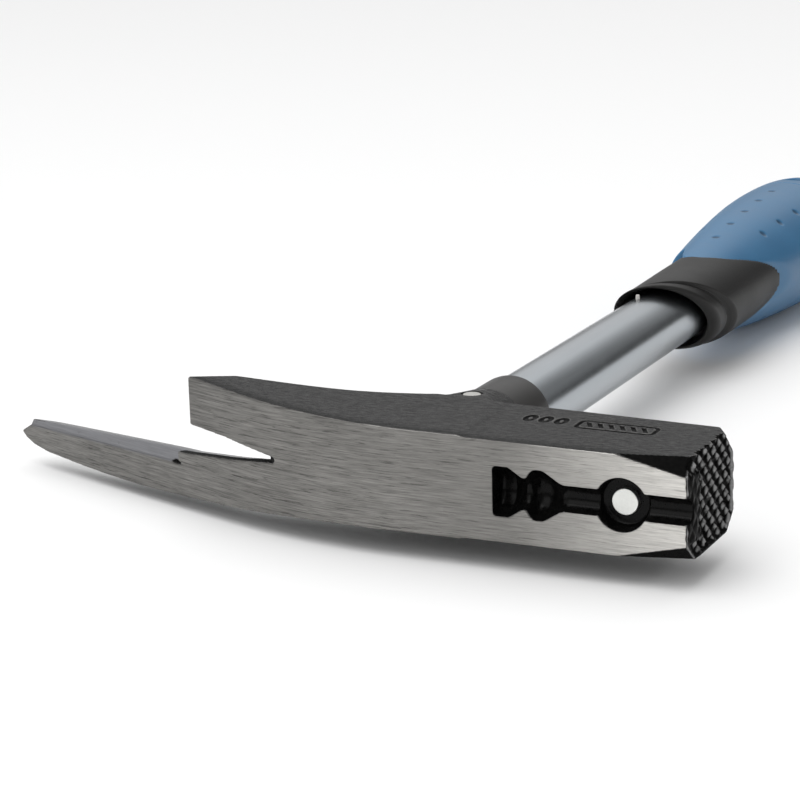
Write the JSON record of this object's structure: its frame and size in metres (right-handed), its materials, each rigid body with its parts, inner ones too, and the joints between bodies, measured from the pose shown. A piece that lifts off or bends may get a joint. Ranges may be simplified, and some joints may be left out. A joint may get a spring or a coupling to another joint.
{
  "type": "roofing hammer",
  "caption": "Roofing hammer with milled face, magnetic nail holder, long spike and side claw on a tubular steel shaft with a two-component grip.",
  "frame": {"origin": "where the shaft's axis meets the head's ground face, on the head's middle plane", "axes": "+X to the striking face, +Y along the shaft to the butt, +Z out of the upper cheek; the hammer lies on its lower cheek"},
  "size_m": [0.2012, 0.315, 0.0384],
  "materials": {
    "forging": "black coat over forged steel, ground bright on one face",
    "magnet_plating": "nickel plating, lightly scuffed",
    "bare_steel": "bright cut end",
    "sleeve_plastic": "smooth satin",
    "tube_chrome": "satin chrome plating",
    "core_plastic": "as moulded",
    "grip_black": "soft satin",
    "grip_blue": "soft satin with small dimples"
  },
  "bodies": {
    "root": {"hammer_head": "forging", "nail_magnet": "magnet_plating", "cross_pin": "bare_steel", "neck_sleeve": "sleeve_plastic", "shaft_tube": "tube_chrome", "shaft_core": "core_plastic", "tube_end_plug": "core_plastic", "grip_core": "core_plastic", "grip_collar": "grip_black", "grip_body": "grip_blue", "grip_butt_cap": "grip_black"}
  },
  "joints": []
}
